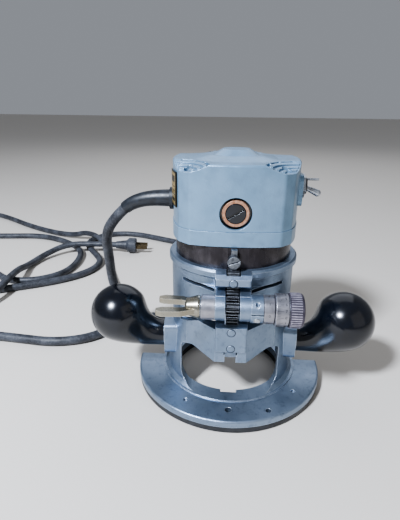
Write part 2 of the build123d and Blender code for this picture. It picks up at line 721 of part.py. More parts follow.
def bearing(name, z):
    """A ball bearing drawn as its two races and a shielded ball cage between them."""
    with BuildPart() as race:
        with BuildSketch(Plane.XY.offset(z)):
            Circle(BEARING_R)
            Circle(SPINDLE_R + 0.02, mode=Mode.SUBTRACT)
        extrude(amount=8.0)
        with BuildSketch(Plane.XY.offset(z)):
            Circle(BEARING_R - 2.2)
            Circle(SPINDLE_R + 2.0, mode=Mode.SUBTRACT)
        extrude(amount=0.6, mode=Mode.SUBTRACT)
        with BuildSketch(Plane.XY.offset(z + 7.4)):
            Circle(BEARING_R - 2.2)
            Circle(SPINDLE_R + 2.0, mode=Mode.SUBTRACT)
        extrude(amount=0.6, mode=Mode.SUBTRACT)
    keep(race, name)


UPPER_BEARING_Z = 163.0
bearing("lower_bearing", NOSE_Z + 2.1)
bearing("upper_bearing", UPPER_BEARING_Z)

with BuildPart() as spindle:
    with BuildSketch(Plane.XY.offset(SPINDLE_LOW_Z)):
        Circle(8.4)
    extrude(amount=NOSE_Z - 2.0 - SPINDLE_LOW_Z)
    with BuildSketch(Plane.XY.offset(SPINDLE_LOW_Z + 10)):
        Circle(SPINDLE_R)
    extrude(amount=SPINDLE_TOP_Z - SPINDLE_LOW_Z - 10)
    with BuildSketch(Plane.XY.offset(SPINDLE_LOW_Z)):
        Circle(6.0)
    extrude(amount=COLLET_BORE_L + 1.0, mode=Mode.SUBTRACT)
    for side in (-1, 1):
        with BuildSketch(Plane.XY.offset(52.0)):
            with Locations((side * 9.6, 0)):
                Rectangle(3.4, 20)
        extrude(amount=4.0, mode=Mode.SUBTRACT)
keep(spindle, "spindle")

with BuildPart() as collet:
    with BuildSketch(Plane.XY.offset(COLLET_LOW_Z)):
        Circle(5.9)
        Circle(COLLET_BORE_R, mode=Mode.SUBTRACT)
    extrude(amount=COLLET_BORE_L)
    chamfer(collet.edges().group_by(Axis.Z)[0].sort_by(SortBy.LENGTH)[-1], 1.2)
keep(collet, "collet")

with BuildPart() as collet_nut:
    with BuildSketch(Plane.XY.offset(COLLET_LOW_Z - 0.4)):
        RegularPolygon(NUT_FLATS / 2, 6, major_radius=False)
    extrude(amount=17.0)
    with BuildSketch(Plane.XY.offset(COLLET_LOW_Z - 0.4)):
        Circle(12.2)
    extrude(amount=17.0, mode=Mode.INTERSECT)
    with BuildSketch(Plane.XY.offset(SPINDLE_LOW_Z - 0.1)):
        Circle(8.45)
    extrude(amount=20.0, mode=Mode.SUBTRACT)
    with BuildSketch(Plane.XY.offset(COLLET_LOW_Z - 0.4)):
        Circle(5.95)
    extrude(amount=8.0, mode=Mode.SUBTRACT)
keep(collet_nut, "collet_nut")

FAN_Z = 84.4
with BuildPart() as cooling_fan:
    with BuildSketch(Plane.XY.offset(FAN_Z + 5.2)):
        Circle(36.0)
        Circle(SPINDLE_R + 0.02, mode=Mode.SUBTRACT)
    extrude(amount=1.2)
    with BuildSketch(Plane.XY.offset(FAN_Z)):
        Circle(9.5)
        Circle(SPINDLE_R + 0.02, mode=Mode.SUBTRACT)
    extrude(amount=6.0)
    with BuildSketch(Plane.XY.offset(FAN_Z + 0.4)):
        with PolarLocations(23.5, 12):
            Rectangle(23.0, 1.2)
    extrude(amount=5.2)
keep(cooling_fan, "cooling_fan")

with BuildPart() as armature_core:
    with BuildSketch(Plane.XY.offset(CORE_LOW_Z)):
        Circle(CORE_R)
        Circle(SPINDLE_R + 0.02, mode=Mode.SUBTRACT)
        with PolarLocations(CORE_R - 3.2, 12):
            SlotOverall(7.6, 2.6, mode=Mode.SUBTRACT)
    extrude(amount=CORE_TOP_Z - CORE_LOW_Z)
keep(armature_core, "armature_core")

with BuildPart() as armature_windings:
    for low, high in ((CORE_LOW_Z - 4.0, CORE_LOW_Z - 0.1), (CORE_TOP_Z + 0.1, CORE_TOP_Z + 8.0)):
        with BuildSketch(Plane.XY.offset(low)):
            Circle(CORE_R - 2.0)
            Circle(SPINDLE_R + 1.0, mode=Mode.SUBTRACT)
        extrude(amount=high - low)
        rims = armature_windings.edges().filter_by(GeomType.CIRCLE).filter_by(
            lambda e: e.radius > CORE_R - 3 and abs(e.center().Z - (low if low < CORE_LOW_Z else high)) < 0.1
        )
        fillet(rims, 1.2)
keep(armature_windings, "armature_windings")

with BuildPart() as commutator:
    with BuildSketch(Plane.XY.offset(CORE_TOP_Z + 12.5)):
        Circle(COMMUTATOR_R)
        Circle(SPINDLE_R + 0.02, mode=Mode.SUBTRACT)
        with PolarLocations(COMMUTATOR_R - 0.6, 24):
            Rectangle(1.8, 0.6, mode=Mode.SUBTRACT)
    extrude(amount=23.0)
keep(commutator, "commutator")

with BuildPart() as field_core:
    with BuildSketch(Plane.XY.offset(CORE_LOW_Z)):
        Circle(MOTOR_R - MOTOR_WALL - 0.1)
        Circle(CORE_R + AIR_GAP, mode=Mode.SUBTRACT)
        with PolarLocations(31.5, 2, start_angle=0):
            Rectangle(9.0, 34.0, mode=Mode.SUBTRACT)
        with Locations((0, RACK_BACK_Y - 1.2)):
            Rectangle(2 * RACK_HALF_X, 10, mode=Mode.SUBTRACT)
    extrude(amount=CORE_TOP_Z - CORE_LOW_Z)
keep(field_core, "field_core")

with BuildPart() as field_windings:
    for side in (-1, 1):
        with BuildSketch(Plane.XY.offset(CORE_LOW_Z - 2.4)):
            with Locations((side * 31.5, 0)):
                RectangleRounded(8.4, 33.0, 3.5)
        extrude(amount=CORE_TOP_Z - CORE_LOW_Z + 8.0)
keep(field_windings, "field_windings")

# ---------------------------------------------------------------- motor housing
SCOOP_AT = 41.0  # the four corners of the crown are scooped about these points
SCOOP_R = 24.0
SCOOP_FLOOR_Z = 174.6
CORNERS = [(SCOOP_AT, SCOOP_AT), (-SCOOP_AT, SCOOP_AT), (-SCOOP_AT, -SCOOP_AT), (SCOOP_AT, -SCOOP_AT)]
SCREW_CORNERS = [(31.8, 30.6), (-31.8, 30.6), (-31.8, -30.6), (31.8, -30.6)]
RELIEF_Y = 0.0
RELIEF_Z = 150.5
RELIEF_HOLE_R = 6.6
PAD_X = 46.4
SWITCH_NECK_R = 6.0

with BuildPart() as housing_ring:
    with BuildSketch(Plane.XY.offset(RING_Z)) as ring_plan:
        add(housing_outline(0.5))
        fillet(ring_plan.vertices(), 5.0)
        Circle(MOTOR_R - 5.0, mode=Mode.SUBTRACT)
    extrude(amount=SEAM_Z - 0.1 - RING_Z)
    with Locations(*[(x, y, SEAM_Z) for x, y in SCREW_CORNERS]):
        Hole(1.75, depth=9.0)
keep(housing_ring, "housing_ring")

DISH_R = (SCOOP_R**2 / (CREST_Z - SCOOP_FLOOR_Z) + CREST_Z - SCOOP_FLOOR_Z) / 2
with BuildPart() as louvres:
    for x, y in CORNERS:
        with BuildSketch(Plane.XY.offset(SCOOP_FLOOR_Z - 1.5)):
            with Locations((x, y)):
                for outer in (21.0, 17.2, 13.4):
                    Circle(outer)
                    Circle(outer - 1.8, mode=Mode.SUBTRACT)
        extrude(amount=10)
    with BuildSketch(Plane.XY.offset(SCOOP_FLOOR_Z - 2)):
        add(housing_outline(-0.9))
    extrude(amount=12, mode=Mode.INTERSECT)
    for x, y in CORNERS:
        with Locations((x, y, SCOOP_FLOOR_Z + DISH_R)):
            Sphere(DISH_R - 1.1, mode=Mode.SUBTRACT)

with BuildPart() as upper_housing:
    with BuildSketch(Plane.XY.offset(SEAM_Z)) as house_plan:
        add(housing_outline())
        fillet(house_plan.vertices(), 5.0)
    extrude(amount=CREST_Z - SEAM_Z)
    crest = upper_housing.edges().group_by(Axis.Z)[-1]
    fillet(crest, 1.8)
    # low crown and the cap in its middle
    with BuildSketch(Plane.XY.offset(CREST_Z - 0.5)):
        RectangleRounded(62, 62, 20)
    with BuildSketch(Plane.XY.offset(CREST_Z + 2.3)):
        RectangleRounded(36, 36, 12)
    loft()
    with BuildSketch(Plane.XY.offset(CREST_Z + 2.0)):
        RectangleRounded(2 * CAP_HALF + 5, 2 * CAP_HALF + 5, 11)
    with BuildSketch(Plane.XY.offset(CAP_TOP_Z)):
        RectangleRounded(2 * CAP_HALF - 8, 2 * CAP_HALF - 8, 8)
    loft()
    # four dished corners
    for x, y in CORNERS:
        with Locations((x, y, SCOOP_FLOOR_Z + DISH_R)):
            Sphere(DISH_R, mode=Mode.SUBTRACT)
    # the hollow inside
    with BuildSketch(Plane.XY.offset(SEAM_Z)) as hollow_plan:
        add(housing_outline(-HOUSE_WALL))
        fillet(hollow_plan.vertices(), 3.0)
        with Locations(*SCREW_CORNERS):
            Circle(4.2, mode=Mode.SUBTRACT)
    extrude(amount=SCOOP_FLOOR_Z - 2.6 - SEAM_Z, mode=Mode.SUBTRACT)
    add(louvres.part)
    with BuildSketch(Plane.XY.offset(SCOOP_FLOOR_Z - 5)):
        for x, y in CORNERS:
            inward = math.degrees(math.atan2(-y, -x))
            for turn in (-26, 0, 26):
                angle = math.radians(inward + turn)
                reach = SCOOP_R - 1.4
                spot = (x + reach * math.cos(angle), y + reach * math.sin(angle))
                with Locations(spot):
                    SlotOverall(9.0, 1.8, rotation=inward + turn + 90)
    extrude(amount=14, mode=Mode.SUBTRACT)
    # brush openings front and back, cord entry on the left, switch pad and hole on the right
    with BuildSketch(Plane.XZ.offset(60)):
        with Locations((0, BRUSH_Z)):
            Circle(BRUSH_HOLE_R)
    extrude(amount=-120, mode=Mode.SUBTRACT)
    with BuildSketch(Plane.YZ.offset(-60)):
        with Locations((RELIEF_Y, RELIEF_Z)):
            Circle(RELIEF_HOLE_R)
    extrude(amount=30, mode=Mode.SUBTRACT)
    with BuildSketch(Plane.YZ.offset(PAD_X)):
        with Locations((TOGGLE_Y, TOGGLE_Z - 2)):
            RectangleRounded(24.0, 22.0, 4.0)
    extrude(amount=-4.4)
    with BuildSketch(Plane.YZ.offset(PAD_X + 1)):
        with Locations((TOGGLE_Y, TOGGLE_Z)):
            Circle(SWITCH_NECK_R + FIT)
    extrude(amount=-12, mode=Mode.SUBTRACT)
    with Locations(*[(x, y, SCOOP_FLOOR_Z + 2) for x, y in SCREW_CORNERS]):
        CounterBoreHole(1.75, 3.2, 4.6, depth=60)
keep(upper_housing, "upper_housing")

with BuildPart() as housing_screws:
    for x, y in SCREW_CORNERS:
        with BuildSketch(Plane.XY.offset(SCOOP_FLOOR_Z - 2.5)):
            with Locations((x, y)):
                Circle(3.0)
        extrude(amount=2.2)
        with BuildSketch(Plane.XY.offset(SEAM_Z - 8.0)):
            with Locations((x, y)):
                Circle(1.7)
        extrude(amount=SCOOP_FLOOR_Z - SEAM_Z + 5.5)
        with BuildSketch(Plane.XY.offset(SCOOP_FLOOR_Z - 0.3)):
            with Locations((x, y)):
                Rectangle(6.4, 0.8, rotation=35)
        extrude(amount=-1.0, mode=Mode.SUBTRACT)
keep(housing_screws, "housing_screws")

NAMEPLATE_LOW_Z = 150.5
NAMEPLATE_TOP_Z = 174.5
with BuildPart() as nameplate:
    with BuildSketch(Plane.XY.offset(NAMEPLATE_LOW_Z)):
        add(housing_outline(1.0))
        add(housing_outline(0.4), mode=Mode.SUBTRACT)
        with Locations((-42.5, -20.5)):
            Rectangle(12.0, 17.0, mode=Mode.INTERSECT)
    extrude(amount=NAMEPLATE_TOP_Z - NAMEPLATE_LOW_Z)
keep(nameplate, "nameplate")

# ---------------------------------------------------------------- bearings' carrier and brush gear
BRUSH_IN_Y = COMMUTATOR_R + 0.1
BRUSH_OUT_Y = 26.0
with BuildPart() as bearing_carrier:
    with BuildSketch(Plane.XY.offset(UPPER_BEARING_Z - 1.0)):
        Circle(BEARING_R + 3.0)
        Rectangle(9.0, 76.0)
        Circle(BEARING_R + 0.05, mode=Mode.SUBTRACT)
    extrude(amount=9.0)
keep(bearing_carrier, "bearing_carrier")

with BuildPart() as brush_holders:
    for side in (-1, 1):
        with BuildSketch(Plane.XZ.offset(-side * 16.0)):
            with Locations((0, BRUSH_Z)):
                Circle(7.4)
                Rectangle(8.2, 5.2, mode=Mode.SUBTRACT)
        extrude(amount=-side * 19.5)
        with BuildSketch(Plane.XZ.offset(-side * BRUSH_OUT_Y)):
            with Locations((0, BRUSH_Z)):
                Circle(2.6)
        extrude(amount=-side * 9.6, mode=Mode.SUBTRACT)
keep(brush_holders, "brush_holders")

with BuildPart() as brushes:
    for side in (-1, 1):
        with BuildSketch(Plane.XZ.offset(-side * BRUSH_IN_Y)):
            with Locations((0, BRUSH_Z)):
                Rectangle(8.0, 5.0)
        extrude(amount=-side * (BRUSH_OUT_Y - BRUSH_IN_Y))
keep(brushes, "brushes")

with BuildPart() as brush_springs:
    for side in (-1, 1):
        spring_at = (0, side * (BRUSH_OUT_Y + 0.4), BRUSH_Z)
        with BuildLine() as spring_line:
            Helix(pitch=1.8, height=8.4, radius=1.9, center=spring_at, direction=(0, side, 0))
        wire = spring_line.wires()[0]
        with BuildSketch(Plane(origin=wire @ 0, z_dir=wire % 0)):
            Circle(0.3)
        sweep(path=wire)
keep(brush_springs, "brush_springs")

with BuildPart() as brush_sleeves:
    for side in (-1, 1):
        with BuildSketch(Plane.XZ.offset(-side * 35.6)):
            with Locations((0, BRUSH_Z)):
                Circle(BRUSH_HOLE_R - 0.1)
                Circle(BRUSH_CAP_R - 0.6, mode=Mode.SUBTRACT)
        extrude(amount=-side * 1.9)
keep(brush_sleeves, "brush_sleeves")

with BuildPart() as brush_rings:
    for side in (-1, 1):
        with BuildSketch(Plane.XZ.offset(-side * 37.6)):
            with Locations((0, BRUSH_Z)):
                Circle(BRUSH_RING_R)
                Circle(BRUSH_CAP_R + 0.1, mode=Mode.SUBTRACT)
        extrude(amount=-side * 3.2)
    face_rims = brush_rings.edges().filter_by(lambda e: abs(abs(e.center().Y) - 40.8) < 0.05)
    chamfer(face_rims.filter_by(lambda e: e.radius > 8), 0.5)
keep(brush_rings, "brush_rings")

with BuildPart() as brush_caps:
    for side in (-1, 1):
        with BuildSketch(Plane.XZ.offset(-side * 37.6)):
            with Locations((0, BRUSH_Z)):
                Circle(BRUSH_CAP_R)
        extrude(amount=-side * 3.6)
        with BuildSketch(Plane.XZ.offset(-side * 35.7)):
            with Locations((0, BRUSH_Z)):
                Circle(BRUSH_CAP_R - 0.8)
        extrude(amount=-side * 1.9)
    cap_rims = brush_caps.edges().filter_by(lambda e: abs(abs(e.center().Y) - 41.2) < 0.05)
    chamfer(cap_rims, 0.5)
    for side in (-1, 1):
        with BuildSketch(Plane.XZ.offset(-side * 40.1)):
            with Locations((0, BRUSH_Z)):
                Rectangle(11.6, 1.5, rotation=32)
        extrude(amount=-side * 4, mode=Mode.SUBTRACT)
keep(brush_caps, "brush_caps")

# ---------------------------------------------------------------- switch
with BuildPart() as switch_body:
    with BuildSketch(Plane.YZ.offset(23.0)):
        with Locations((TOGGLE_Y, TOGGLE_Z)):
            RectangleRounded(15.0, 15.0, 1.5)
    extrude(amount=17.6)
    with BuildSketch(Plane.YZ.offset(40.6)):
        with Locations((TOGGLE_Y, TOGGLE_Z)):
            Circle(SWITCH_NECK_R)
    extrude(amount=9.6)
    with BuildSketch(Plane.XZ.offset(-TOGGLE_Y + 1.6)):
        with BuildLine():
            Polyline(
                (42.0, TOGGLE_Z - 1.5),
                (50.4, TOGGLE_Z - 6.4),
                (50.4, TOGGLE_Z + 6.4),
                (42.0, TOGGLE_Z + 1.5),
                close=True,
            )
        make_face()
    extrude(amount=-3.2, mode=Mode.SUBTRACT)
keep(switch_body, "switch_body")

with BuildPart() as switch_nut:
    with BuildSketch(Plane.YZ.offset(PAD_X + 0.05)):
        with Locations((TOGGLE_Y, TOGGLE_Z)):
            RegularPolygon(7.6, 6, major_radius=False, rotation=12)
            Circle(SWITCH_NECK_R + 0.02, mode=Mode.SUBTRACT)
    extrude(amount=2.4)
keep(switch_nut, "switch_nut")

LEVER_DROP = 23.0
lever_tilt = math.radians(LEVER_DROP)
lever_axis = Axis((TOGGLE_X, TOGGLE_Y, TOGGLE_Z), (math.cos(lever_tilt), 0, -math.sin(lever_tilt)))
with BuildPart() as switch_lever:
    lever_plane = Plane(origin=lever_axis.position, x_dir=lever_axis.direction, z_dir=(0, -1, 0))
    with BuildSketch(lever_plane):
        with BuildLine():
            ball_end = CenterArc((13.2, 0), 2.6, 0, 100)
            Polyline(ball_end @ 0, (-1.4, 0), (-1.4, 1.4), (3.0, 1.5), ball_end @ 1)
        make_face()
    revolve(axis=lever_axis)
keep(switch_lever, "switch_lever")

with BuildPart() as switch_guard:
    with BuildSketch(Plane.YZ.offset(PAD_X + 0.05)):
        with Locations((TOGGLE_Y + 9.0, TOGGLE_Z + 3.0)):
            Circle(0.9)
    extrude(amount=14.6)
keep(switch_guard, "switch_guard")

# ---------------------------------------------------------------- strain relief, cord and plug
CORD_START = (-84.0, 5.0, 141.0)
CORD_EXIT = (-11.5, 3.5, -10.5)  # the way the cord leaves its strain relief
relief_path = [
    ((-42.6, RELIEF_Y, RELIEF_Z), (-1, 0, 0), 6.5),
    ((-46.2, RELIEF_Y, RELIEF_Z), (-1, 0, 0), 6.5),
    ((-58.0, 0.5, 150.2), (-1, 0.05, -0.09), 6.1),
    ((-71.5, 2.1, 147.8), (-0.93, 0.14, -0.33), 5.5),
    (CORD_START, CORD_EXIT, 4.9),
]
with BuildPart() as strain_relief:
    for place, direction, radius in relief_path:
        with BuildSketch(Plane(origin=place, x_dir=(0, 1, 0), z_dir=direction)):
            Circle(radius)
    loft()
    with BuildSketch(Plane(origin=(-45.75, RELIEF_Y, RELIEF_Z), x_dir=(0, 1, 0), z_dir=(-1, 0, 0))):
        Circle(8.3)
    extrude(amount=2.6)
keep(strain_relief, "strain_relief")

LAID = CORD_R + 0.25  # height of the cord's middle where it lies on the bench
OVER = 14.6  # height of its middle where it passes over another stretch
cord_route = [
    CORD_START,
    (-95.5, 8.5, 130.5),
    (-105.3, 16.3, 114.1),
    (-107.9, 29.9, 90.0),
    (-110.6, 42.6, 61.0),
    (-106.7, 53.3, 30.4),
    (-89.1, 66.4, 11.0),
    (-74.5, 75.6, LAID),
    (-50.0, 88.1, LAID),
    (-27.0, 116.0, LAID),
    (-11.0, 158.0, LAID),
    (-9.0, 212.0, LAID),
    (-24.0, 266.0, LAID),
    (-62.1, 313.8, LAID),
    (-115.8, 341.5, LAID),
    (-157.8, 361.8, LAID),
    (-194.8, 361.3, LAID),
    (-222.4, 336.7, LAID),
    (-227.0, 300.0, LAID),
    (-201.6, 262.2, LAID),
    (-179.6, 227.6, LAID),
    (-186.0, 188.0, LAID),
    (-218.0, 157.1, LAID),
    (-261.9, 133.9, LAID),
    (-310.0, 110.1, LAID),
    (-356.0, 96.0, LAID),
    (-396.3, 110.7, LAID),
    (-413.3, 150.1, LAID),
    (-396.4, 189.4, LAID),
    (-356.1, 203.9, LAID),
    (-318.1, 184.9, LAID),
    (-284.3, 154.5, LAID),
    (-246.3, 154.5, LAID),
    (-218.1, 180.0, LAID),
    (-213.1, 222.0, LAID),
    (-224.0, 272.0, LAID),
    (-264.0, 312.0, LAID),
    (-316.0, 337.0, LAID),
    (-366.0, 331.0, LAID),
    (-418.0, 326.0, LAID),
    (-470.0, 344.0, LAID),
    (-511.2, 370.8, LAID),
    (-531.8, 412.1, LAID),
    (-514.1, 454.0, LAID),
    (-470.7, 467.8, LAID),
    (-423.2, 438.3, LAID),
    (-366.0, 394.0, LAID),
    (-306.0, 358.0, LAID),
    (-262.0, 339.0, LAID + 2.0),
    (-236.0, 331.0, OVER),
    (-207.0, 309.0, OVER),
    (-190.0, 284.0, LAID),
    (-176.0, 247.0, LAID),
    (-160.0, 196.0, LAID),
    (-140.0, 150.0, LAID),
    (-119.0, 108.0, LAID),
    (-108.9, 68.0, LAID),
    (-127.1, 33.2, LAID),
    (-163.0, 19.7, LAID),
    (-203.0, 24.8, LAID),
    (-241.3, 28.5, LAID),
    (-266.1, 52.3, LAID),
    (-271.6, 84.4, LAID),
    (-267.0, 112.2, OVER),
    (-272.0, 165.9, OVER),
    (-278.0, 203.0, LAID),
    (-270.7, 242.1, LAID + 2.0),
    (-245.5, 270.4, OVER),
    (-199.8, 276.2, 14.2),
    PLUG_AT,
]


def corner_radii(points):
    """The largest tidy arc at each corner of a route: 0.45 of its shorter run each way."""
    radii = []
    for before, here, after in zip(points, points[1:], points[2:]):
        arriving = Vector(*here) - Vector(*before)
        leaving = Vector(*after) - Vector(*here)
        half_turn = math.radians(arriving.get_angle(leaving) / 2)
        radii.append(0.45 * min(arriving.length, leaving.length) / math.tan(half_turn))
    return radii


cord_radii = corner_radii(cord_route)
print("cord arcs, mm:", [round(radius) for radius in cord_radii])
with BuildPart() as cord_tube:
    with BuildLine() as cord_line:
        FilletPolyline(*cord_route, radius=cord_radii)
    cord_path = cord_line.wires()[0]
    with BuildSketch(Plane(origin=cord_path @ 0, z_dir=cord_path % 0)):
        Circle(CORD_R)
    sweep(path=cord_path)
section_volume = math.pi * CORD_R**2 * cord_path.length
volume_ratio = round(cord_tube.part.volume / section_volume, 4)
print("cord length, mm:", round(cord_path.length), "volume ratio:", volume_ratio)
keep(cord_tube, "cord_tube")

plug_dir = Vector(*PLUG_DIR).normalized()
plug_plane = Plane(origin=PLUG_AT, x_dir=(0, 0, 1), z_dir=plug_dir)
PLUG_GRIP_L = 16.0
PLUG_HEAD_L = 15.0
PLUG_HEAD_R = 11.4
with BuildPart() as plug_body:
    with BuildSketch(plug_plane):
        Circle(CORD_R + 1.0)
    with BuildSketch(plug_plane.offset(PLUG_GRIP_L)):
        Circle(7.6)
    loft()
    with BuildSketch(plug_plane.offset(PLUG_GRIP_L)):
        Circle(7.6)
    with BuildSketch(plug_plane.offset(PLUG_GRIP_L + 4.0)):
        Circle(PLUG_HEAD_R)
    loft()
    with BuildSketch(plug_plane.offset(PLUG_GRIP_L + 4.0)):
        Circle(PLUG_HEAD_R)
    extrude(amount=PLUG_HEAD_L - 4.0)
    front_rim = plug_body.edges().filter_by(GeomType.CIRCLE).sort_by(Axis(PLUG_AT, PLUG_DIR))[-1]
    fillet(front_rim, 1.2)
keep(plug_body, "plug_body")

with BuildPart() as plug_pins:
    with BuildSketch(plug_plane.offset(PLUG_GRIP_L + PLUG_HEAD_L + 0.05)):
        with Locations((0, -6.35), (0, 6.35)):
            Rectangle(6.35, 1.5)
    extrude(amount=17.0)
keep(plug_pins, "plug_pins")
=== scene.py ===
import math

import bmesh
import bpy
from mathutils import Matrix, Vector


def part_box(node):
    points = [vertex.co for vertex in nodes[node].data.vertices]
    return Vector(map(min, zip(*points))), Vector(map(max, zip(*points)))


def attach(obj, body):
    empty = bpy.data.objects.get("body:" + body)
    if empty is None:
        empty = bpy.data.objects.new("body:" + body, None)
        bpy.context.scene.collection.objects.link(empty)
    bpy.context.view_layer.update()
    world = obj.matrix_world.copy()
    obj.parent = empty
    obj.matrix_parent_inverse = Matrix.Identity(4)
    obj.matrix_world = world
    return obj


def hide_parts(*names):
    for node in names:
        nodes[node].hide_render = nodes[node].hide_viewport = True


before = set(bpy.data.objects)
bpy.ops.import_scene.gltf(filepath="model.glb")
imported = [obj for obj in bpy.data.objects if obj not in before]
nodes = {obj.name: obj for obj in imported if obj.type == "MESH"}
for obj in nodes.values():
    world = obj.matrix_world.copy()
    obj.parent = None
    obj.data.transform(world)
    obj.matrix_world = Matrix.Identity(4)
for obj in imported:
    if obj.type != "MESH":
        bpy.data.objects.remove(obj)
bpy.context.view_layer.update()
MM = 0.001


def srgb(code):
    """A colour written as six hex digits, as the linear RGBA that Blender wants."""
    channels = [int(code[i:i + 2], 16) / 255 for i in (0, 2, 4)]
    linear = [c / 12.92 if c <= 0.04045 else ((c + 0.055) / 1.055) ** 2.4 for c in channels]
    return (*linear, 1.0)


def add_node(tree, kind, *, links=(), **values):
    """Adds a shader node; values set its properties or inputs, links are (input, socket) pairs."""
    made = tree.nodes.new(kind)
    for key, value in values.items():
        if hasattr(made, key):
            setattr(made, key, value)
        else:
            made.inputs[key.replace("_", " ")].default_value = value
    for name, socket in links:
        tree.links.new(socket, made.inputs[name])
    return made


# ---------------------------------------------------------------- camera
# Stands in front of the tool and a little above it, looking down, with a moderately wide lens.
# It is turned a touch to the left and tipped sideways by under a degree.
camera_data = bpy.data.cameras.new("camera")
camera_data.lens = 27.48
camera_data.clip_start = 0.01
camera = bpy.data.objects.new("camera", camera_data)
bpy.context.collection.objects.link(camera)
pan, tilt, roll = math.radians(-3.34), math.radians(21.35), math.radians(0.66)
ahead = Vector((math.sin(pan) * math.cos(tilt), math.cos(pan) * math.cos(tilt), -math.sin(tilt)))
level = ahead.cross(Vector((0, 0, 1))).normalized()
upright = level.cross(ahead)
right = math.cos(roll) * level + math.sin(roll) * upright
top = -math.sin(roll) * level + math.cos(roll) * upright
turned = Matrix((right, top, -ahead)).transposed().to_4x4()
camera_place = Vector((-8.30, -293.57, 216.03)) * MM
camera.matrix_world = Matrix.Translation(camera_place) @ turned
bpy.context.scene.camera = camera

# ---------------------------------------------------------------- cord
# One mains lead: down beside the left handle, round behind, and over the bench in loose loops.
# Its route is the design's own, in millimetres; a spline of order three runs smoothly along it.
CORD_RADIUS = 4.25
LAID = 4.5  # height of the cord's middle where it lies on the bench
OVER = 14.6  # and where it crosses over another turn
cord_route = [
    (-84.0, 5.0, 141.0),
    (-95.5, 8.5, 130.5),
    (-105.3, 16.3, 114.1),
    (-107.9, 29.9, 90.0),
    (-110.6, 42.6, 61.0),
    (-106.7, 53.3, 30.4),
    (-89.1, 66.4, 11.0),
    (-74.5, 75.6, LAID),
    (-50.0, 88.1, LAID),
    (-27.0, 116.0, LAID),
    (-11.0, 158.0, LAID),
    (-9.0, 212.0, LAID),
    (-24.0, 266.0, LAID),
    (-62.1, 313.8, LAID),
    (-115.8, 341.5, LAID),
    (-157.8, 361.8, LAID),
    (-194.8, 361.3, LAID),
    (-222.4, 336.7, LAID),
    (-227.0, 300.0, LAID),
    (-201.6, 262.2, LAID),
    (-179.6, 227.6, LAID),
    (-186.0, 188.0, LAID),
    (-218.0, 157.1, LAID),
    (-261.9, 133.9, LAID),
    (-310.0, 110.1, LAID),
    (-356.0, 96.0, LAID),
    (-396.3, 110.7, LAID),
    (-413.3, 150.1, LAID),
    (-396.4, 189.4, LAID),
    (-356.1, 203.9, LAID),
    (-318.1, 184.9, LAID),
    (-284.3, 154.5, LAID),
    (-246.3, 154.5, LAID),
    (-218.1, 180.0, LAID),
    (-213.1, 222.0, LAID),
    (-224.0, 272.0, LAID),
    (-264.0, 312.0, LAID),
    (-316.0, 337.0, LAID),
    (-366.0, 331.0, LAID),
    (-418.0, 326.0, LAID),
    (-470.0, 344.0, LAID),
    (-511.2, 370.8, LAID),
    (-531.8, 412.1, LAID),
    (-514.1, 454.0, LAID),
    (-470.7, 467.8, LAID),
    (-423.2, 438.3, LAID),
    (-366.0, 394.0, LAID),
    (-306.0, 358.0, LAID),
    (-262.0, 339.0, LAID + 2.0),
    (-236.0, 331.0, OVER),
    (-207.0, 309.0, OVER),
    (-190.0, 284.0, LAID),
    (-176.0, 247.0, LAID),
    (-160.0, 196.0, LAID),
    (-140.0, 150.0, LAID),
    (-119.0, 108.0, LAID),
    (-108.9, 68.0, LAID),
    (-127.1, 33.2, LAID),
    (-163.0, 19.7, LAID),
    (-203.0, 24.8, LAID),
    (-241.3, 28.5, LAID),
    (-266.1, 52.3, LAID),
    (-271.6, 84.4, LAID),
    (-267.0, 112.2, OVER),
    (-272.0, 165.9, OVER),
    (-278.0, 203.0, LAID),
    (-270.7, 242.1, LAID + 2.0),
    (-245.5, 270.4, OVER),
    (-199.8, 276.2, 14.2),
    (-172.0, 279.0, 12.9),
]
cord_data = bpy.data.curves.new("mains_cord", "CURVE")
cord_data.dimensions = "3D"
cord_data.bevel_depth = 1.0  # each point's own radius is the real one
cord_data.bevel_resolution = 6
cord_data.use_fill_caps = True
cord_data.resolution_u = 10
spline = cord_data.splines.new("NURBS")
spline.points.add(len(cord_route) - 1)
for point, place in zip(spline.points, cord_route):
    point.co = (*[value * MM for value in place], 1.0)
    point.radius = CORD_RADIUS * MM
spline.order_u = 3
spline.use_endpoint_u = True
mains_cord = bpy.data.objects.new("mains_cord", cord_data)
bpy.context.collection.objects.link(mains_cord)
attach(mains_cord, "base")
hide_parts("cord_tube")

# ---------------------------------------------------------------- shared parts of the finishes
# Every finish works in object coordinates scaled to millimetres, so its grain has a real size.


def new_finish(name):
    """A new material, its node tree, its main shader and its coordinates in millimetres."""
    material = bpy.data.materials.new(name)
    material.use_nodes = True
    tree = material.node_tree
    shader = tree.nodes["Principled BSDF"]
    where = add_node(tree, "ShaderNodeTexCoord").outputs["Object"]
    scaled = add_node(tree, "ShaderNodeVectorMath", operation="SCALE", Scale=1000.0, links=[(0, where)])
    return material, tree, shader, scaled.outputs["Vector"]


def mottle(tree, where, size, low, high, detail=4.0, stretch=(1, 1, 1), rough=0.55):
    """Soft noise with features of the given size in mm, spread between low and high."""
    pulled = add_node(tree, "ShaderNodeVectorMath", operation="MULTIPLY", links=[(0, where)])
    pulled.inputs[1].default_value = stretch
    noise = add_node(
        tree, "ShaderNodeTexNoise", Scale=1.0 / size, Detail=detail, Roughness=rough,
        links=[("Vector", pulled.outputs[0])],
    )
    spread = add_node(tree, "ShaderNodeMapRange", links=[("Value", noise.outputs["Fac"])])
    spread.inputs["From Min"].default_value = 0.3
    spread.inputs["From Max"].default_value = 0.7
    spread.inputs["To Min"].default_value = low
    spread.inputs["To Max"].default_value = high
    return spread.outputs["Result"]


